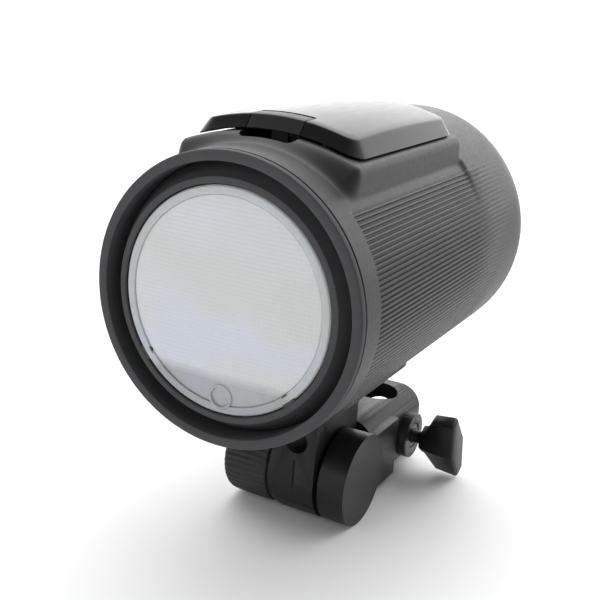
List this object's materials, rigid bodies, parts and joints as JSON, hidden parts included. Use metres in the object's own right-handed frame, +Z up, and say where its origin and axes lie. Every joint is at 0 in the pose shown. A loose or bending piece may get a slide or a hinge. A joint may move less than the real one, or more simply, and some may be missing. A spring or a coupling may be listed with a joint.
{
  "type": "monolight strobe",
  "caption": "Compact battery monolight strobe with ribbed round head, frosted front glass and folding tilt stand adapter.",
  "frame": {"origin": "on the surface the strobe rests on, under the middle of its bounding box", "axes": "-Y out of the front glass along the flash axis, +Z up, +X towards the stand clamp's wing knob"},
  "size_m": [0.08, 0.141, 0.1347],
  "materials": {
    "casing": "ribbed satin",
    "dark_plastic": "fine matte",
    "satin_black": "satin",
    "gloss_black": "gloss",
    "frosted_glass": "frosted",
    "reflector_metal": "bright dimpled",
    "ceramic": "unglazed",
    "steel": "fine turned",
    "black_steel": "blackened",
    "brass": "turned",
    "circuit_board": "solder mask",
    "ferrite": "sintered",
    "shrink_sleeve": "shrink film",
    "friction_fibre": "pressed fibre"
  },
  "bodies": {
    "head": {"main_casing": "casing", "front_rim": "satin_black", "mount_ring": "steel", "glass_bezel": "dark_plastic", "front_glass": "frosted_glass", "reflector": "reflector_metal", "flash_tube": "frosted_glass", "tube_base": "ceramic", "modelling_led": "frosted_glass", "sensor_lens": "frosted_glass", "led_board": "circuit_board", "bulkhead": "dark_plastic", "main_board": "circuit_board", "charge_transformer": "ferrite", "trigger_coil": "ferrite", "capacitor_1": "shrink_sleeve", "capacitor_2": "shrink_sleeve", "capacitor_bracket": "dark_plastic", "battery_tray": "dark_plastic", "contact_block": "brass", "rear_panel": "gloss_black", "display_window": "gloss_black", "display_module": "steel", "panel_board": "circuit_board", "head_bracket": "satin_black", "saddle_screw_1": "steel", "saddle_screw_2": "steel", "saddle_screw_3": "steel", "saddle_screw_4": "steel"},
    "arm": {"stand_arm": "satin_black", "pivot_stud": "steel", "friction_disc": "friction_fibre", "clamp_bush": "black_steel"},
    "washer": {"tilt_washer": "satin_black"},
    "knob": {"tilt_knob": "dark_plastic", "knob_insert": "brass"},
    "pad": {"clamp_pad": "brass"},
    "clamp": {"clamp_screw": "black_steel", "clamp_knob": "satin_black"},
    "battery": {"battery_cover": "gloss_black", "battery_case": "dark_plastic", "battery_cell_1": "shrink_sleeve", "battery_cell_2": "shrink_sleeve", "battery_board": "circuit_board", "spring_seat": "steel"},
    "release": {"release_button": "satin_black", "release_spring": "steel"},
    "dial": {"control_dial": "satin_black"},
    "dial_push": {"dial_button": "satin_black"},
    "power_push": {"power_button": "satin_black"},
    "light_push": {"light_button": "satin_black"}
  },
  "joints": [
    {"name": "tilt_hinge", "type": "hinge", "parent": "head", "child": "arm", "pos_m": [0, -0.0053, 0.0152], "axis": [-1, 0, 0], "range_deg": [0, 180]},
    {"name": "washer_slide", "type": "slide", "parent": "arm", "child": "washer", "axis": [-1, 0, 0], "range_m": [0, 0.0008]},
    {"name": "tilt_knob_turn", "type": "hinge", "parent": "washer", "child": "knob", "pos_m": [-0.018, -0.0053, 0.0152], "axis": [-1, 0, 0], "range_deg": [0, 230]},
    {"name": "clamp_slide", "type": "slide", "parent": "arm", "child": "pad", "axis": [-1, 0, 0], "range_m": [0, 0.0024]},
    {"name": "clamp_turn", "type": "hinge", "parent": "pad", "child": "clamp", "pos_m": [0.028, 0.041, 0.0135], "axis": [-1, 0, 0], "range_deg": [0, 1080]},
    {"name": "battery_lift", "type": "slide", "parent": "head", "child": "battery", "axis": [0, 0, 1], "range_m": [0, 0.03]},
    {"name": "release_push", "type": "slide", "parent": "battery", "child": "release", "axis": [0, 1, 0], "range_m": [0, 0.0012], "stiffness_N_per_m": 400},
    {"name": "dial_turn", "type": "hinge", "parent": "head", "child": "dial", "pos_m": [0, 0.0668, 0.0762], "axis": [0, 1, 0], "continuous": true},
    {"name": "dial_press", "type": "slide", "parent": "head", "child": "dial_push", "axis": [0, -1, 0], "range_m": [0, 0.0005], "stiffness_N_per_m": 400},
    {"name": "power_press", "type": "slide", "parent": "head", "child": "power_push", "axis": [0, -1, 0], "range_m": [0, 0.0005], "stiffness_N_per_m": 400},
    {"name": "light_press", "type": "slide", "parent": "head", "child": "light_push", "axis": [0, -1, 0], "range_m": [0, 0.0005], "stiffness_N_per_m": 400}
  ],
  "couplings": [
    {"joint": "tilt_knob_turn", "follows": "washer_slide", "rad_per_m": 5017.8},
    {"joint": "clamp_turn", "follows": "clamp_slide", "rad_per_m": 7854}
  ]
}
